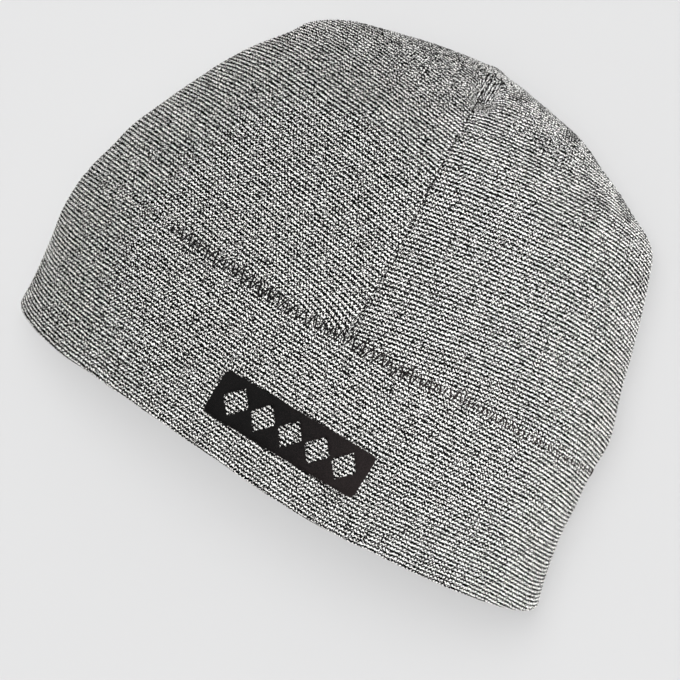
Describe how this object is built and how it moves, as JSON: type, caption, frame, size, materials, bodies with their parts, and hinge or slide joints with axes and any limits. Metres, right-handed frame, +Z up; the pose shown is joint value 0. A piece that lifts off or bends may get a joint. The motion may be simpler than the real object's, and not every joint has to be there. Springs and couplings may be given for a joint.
{
  "type": "knitted beanie",
  "caption": "Close-fitting jersey-knit beanie lying on its back, with a doubled band, a crown in two halves and an embroidered badge on the band.",
  "frame": {"origin": "middle of the footprint: the centre of the underside of the hat's box, on the surface that the hat lies on", "axes": "+Z up, out of the front of the hat; +Y from the mouth to the top of the crown; +X across the hat, along the mouth"},
  "size_m": [0.2621, 0.2056, 0.0588],
  "materials": {
    "knit": "matt wool jersey in black and off-white yarn, fine ribs",
    "thread": "black embroidery thread with a soft sheen"
  },
  "bodies": {
    "root": {"band": "knit", "crown_left": "knit", "crown_right": "knit", "badge": "thread"}
  },
  "joints": []
}
